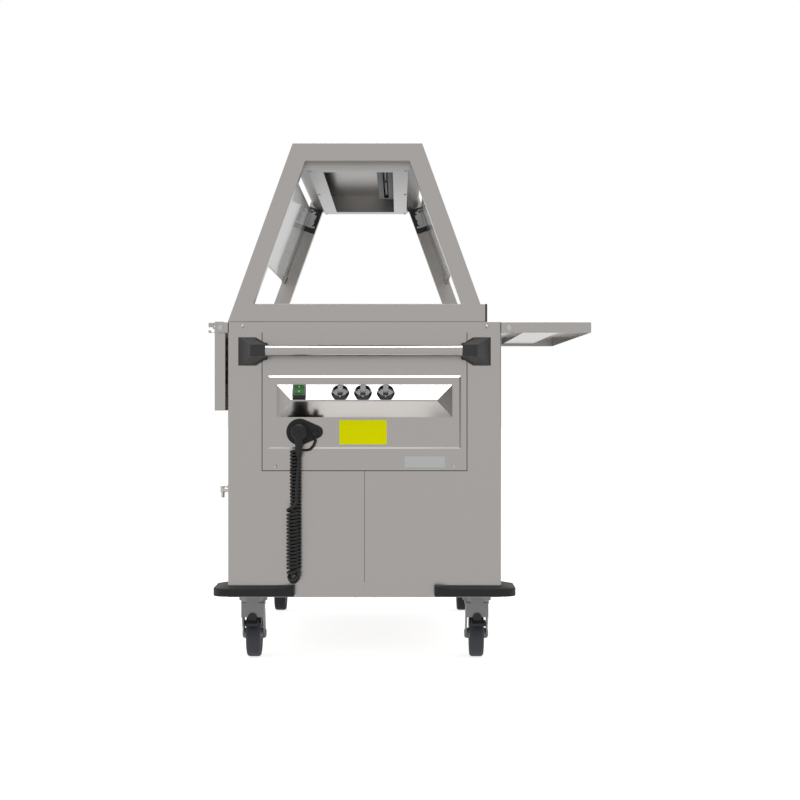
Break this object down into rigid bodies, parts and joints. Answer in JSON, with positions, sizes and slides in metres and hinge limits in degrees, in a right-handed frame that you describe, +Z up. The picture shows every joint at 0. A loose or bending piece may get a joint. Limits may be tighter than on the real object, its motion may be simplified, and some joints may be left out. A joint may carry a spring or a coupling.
{
  "type": "buffet trolley",
  "caption": "Steel buffet trolley on casters with heated wells, a glass-flapped guard under a lamp canopy, fold-up side shelves and a curly supply cord.",
  "frame": {"origin": "centre of the footprint's box on the floor, with the right shelf raised and the left one hanging", "axes": "+Z up; +Y from the end with the push handle and controls to the far end; +X to the right, seen from the push handle"},
  "size_m": [1.0176, 1.3386, 1.374],
  "materials": {
    "cabinet_steel": "satin",
    "bright_steel": "satin",
    "zinc_steel": "satin",
    "nickel_brass": "satin",
    "heater_metal": "matte",
    "black_plastic": "matte",
    "knob_plastic": "satin",
    "green_plastic": "gloss",
    "bumper_plastic": "matte",
    "lamp_metal": "satin",
    "lamp_quartz": "gloss",
    "flap_glass": "gloss",
    "cord_jacket": "satin",
    "tyre_rubber": "matte",
    "rim_plastic": "satin",
    "pedal_plastic": "satin"
  },
  "bodies": {
    "cabinet": {"base_frame": "cabinet_steel", "corner_posts": "cabinet_steel", "cladding_left": "cabinet_steel", "cladding_right": "cabinet_steel", "control_cover": "cabinet_steel", "canopy_base_plate": "cabinet_steel", "worktop": "bright_steel", "well_near": "bright_steel", "well_middle": "bright_steel", "well_far": "bright_steel", "guard_frame_near": "bright_steel", "guard_frame_far": "bright_steel", "canopy_housing": "bright_steel", "handle_tube": "bright_steel", "hook_plates": "zinc_steel", "shelf_pivots": "zinc_steel", "panel_screws": "zinc_steel", "caster_plates": "zinc_steel", "drain_valves": "nickel_brass", "well_heaters": "heater_metal", "handle_brackets": "black_plastic", "frame_caps": "black_plastic", "flap_mounts": "black_plastic", "switch_housing": "black_plastic", "plug_holder": "black_plastic", "plug": "black_plastic", "thermostats": "black_plastic", "corner_bumpers": "bumper_plastic", "lamp_fixture": "lamp_metal", "heat_lamps": "lamp_quartz", "cord_lead": "cord_jacket", "cord_coil": "cord_jacket", "cord_tail": "cord_jacket"},
    "dial_left": {"knob_left": "knob_plastic"},
    "dial_middle": {"knob_middle": "knob_plastic"},
    "dial_right": {"knob_right": "knob_plastic"},
    "rocker": {"switch_rocker": "green_plastic"},
    "flap_left": {"flap_glass_left": "flap_glass", "flap_fittings_left": "zinc_steel"},
    "flap_right": {"flap_glass_right": "flap_glass", "flap_fittings_right": "zinc_steel"},
    "tray_left": {"shelf_left": "bright_steel"},
    "tray_right": {"shelf_right": "bright_steel"},
    "lever_near": {"drain_lever_near": "zinc_steel"},
    "lever_middle": {"drain_lever_middle": "zinc_steel"},
    "lever_far": {"drain_lever_far": "zinc_steel"},
    "swivel_near_left": {"fork_near_left": "zinc_steel"},
    "wheel_near_left": {"tyre_near_left": "tyre_rubber", "rim_near_left": "rim_plastic"},
    "swivel_near_right": {"fork_near_right": "zinc_steel"},
    "wheel_near_right": {"tyre_near_right": "tyre_rubber", "rim_near_right": "rim_plastic"},
    "swivel_far_left": {"fork_far_left": "zinc_steel"},
    "wheel_far_left": {"tyre_far_left": "tyre_rubber", "rim_far_left": "rim_plastic"},
    "swivel_far_right": {"fork_far_right": "zinc_steel"},
    "wheel_far_right": {"tyre_far_right": "tyre_rubber", "rim_far_right": "rim_plastic"},
    "brake_near_left": {"pedal_near_left": "pedal_plastic"},
    "brake_near_right": {"pedal_near_right": "pedal_plastic"}
  },
  "joints": [
    {"name": "dial_left_turn", "type": "hinge", "parent": "cabinet", "child": "dial_left", "pos_m": [-0.15625, -0.59487, 0.71188], "axis": [0, -0.7071, 0.7071], "range_deg": [-270, 0]},
    {"name": "dial_middle_turn", "type": "hinge", "parent": "cabinet", "child": "dial_middle", "pos_m": [-0.09625, -0.59487, 0.71188], "axis": [0, -0.7071, 0.7071], "range_deg": [-270, 0]},
    {"name": "dial_right_turn", "type": "hinge", "parent": "cabinet", "child": "dial_right", "pos_m": [-0.03625, -0.59487, 0.71188], "axis": [0, -0.7071, 0.7071], "range_deg": [-270, 0]},
    {"name": "rocker_tilt", "type": "hinge", "parent": "cabinet", "child": "rocker", "pos_m": [-0.26425, -0.60123, 0.71824], "axis": [1, 0, 0], "range_deg": [-16, 0]},
    {"name": "flap_left_lift", "type": "hinge", "parent": "cabinet", "child": "flap_left", "pos_m": [-0.28869, 0.03125, 1.315], "axis": [0, 1, 0], "range_deg": [0, 90]},
    {"name": "flap_right_lift", "type": "hinge", "parent": "cabinet", "child": "flap_right", "pos_m": [0.06519, 0.03125, 1.315], "axis": [0, -1, 0], "range_deg": [0, 90]},
    {"name": "tray_left_lift", "type": "hinge", "parent": "cabinet", "child": "tray_left", "pos_m": [-0.47525, 0.03125, 0.8845], "axis": [0, 1, 0], "range_deg": [0, 90]},
    {"name": "tray_right_drop", "type": "hinge", "parent": "cabinet", "child": "tray_right", "pos_m": [0.28975, 0.03125, 0.8845], "axis": [0, 1, 0], "range_deg": [0, 90]},
    {"name": "lever_near_turn", "type": "hinge", "parent": "cabinet", "child": "lever_near", "pos_m": [-0.47775, -0.31375, 0.443], "axis": [0, 0, 1], "range_deg": [0, 90]},
    {"name": "lever_middle_turn", "type": "hinge", "parent": "cabinet", "child": "lever_middle", "pos_m": [-0.47775, 0.03125, 0.443], "axis": [0, 0, 1], "range_deg": [0, 90]},
    {"name": "lever_far_turn", "type": "hinge", "parent": "cabinet", "child": "lever_far", "pos_m": [-0.47775, 0.37625, 0.443], "axis": [0, 0, 1], "range_deg": [0, 90]},
    {"name": "swivel_near_left_turn", "type": "hinge", "parent": "cabinet", "child": "swivel_near_left", "pos_m": [-0.39275, -0.50175, 0.15], "axis": [0, 0, 1], "continuous": true},
    {"name": "wheel_near_left_roll", "type": "hinge", "parent": "swivel_near_left", "child": "wheel_near_left", "pos_m": [-0.39275, -0.46175, 0.0625], "axis": [1, 0, 0], "continuous": true},
    {"name": "swivel_near_right_turn", "type": "hinge", "parent": "cabinet", "child": "swivel_near_right", "pos_m": [0.20725, -0.50175, 0.15], "axis": [0, 0, 1], "continuous": true},
    {"name": "wheel_near_right_roll", "type": "hinge", "parent": "swivel_near_right", "child": "wheel_near_right", "pos_m": [0.20725, -0.46175, 0.0625], "axis": [1, 0, 0], "continuous": true},
    {"name": "swivel_far_left_turn", "type": "hinge", "parent": "cabinet", "child": "swivel_far_left", "pos_m": [-0.39275, 0.56425, 0.15], "axis": [0, 0, 1], "continuous": true},
    {"name": "wheel_far_left_roll", "type": "hinge", "parent": "swivel_far_left", "child": "wheel_far_left", "pos_m": [-0.39275, 0.60425, 0.0625], "axis": [1, 0, 0], "continuous": true},
    {"name": "swivel_far_right_turn", "type": "hinge", "parent": "cabinet", "child": "swivel_far_right", "pos_m": [0.20725, 0.56425, 0.15], "axis": [0, 0, 1], "continuous": true},
    {"name": "wheel_far_right_roll", "type": "hinge", "parent": "swivel_far_right", "child": "wheel_far_right", "pos_m": [0.20725, 0.60425, 0.0625], "axis": [1, 0, 0], "continuous": true},
    {"name": "brake_near_left_press", "type": "hinge", "parent": "swivel_near_left", "child": "brake_near_left", "pos_m": [-0.39275, -0.51975, 0.126], "axis": [1, 0, 0], "range_deg": [0, 12]},
    {"name": "brake_near_right_press", "type": "hinge", "parent": "swivel_near_right", "child": "brake_near_right", "pos_m": [0.20725, -0.51975, 0.126], "axis": [1, 0, 0], "range_deg": [0, 12]}
  ]
}
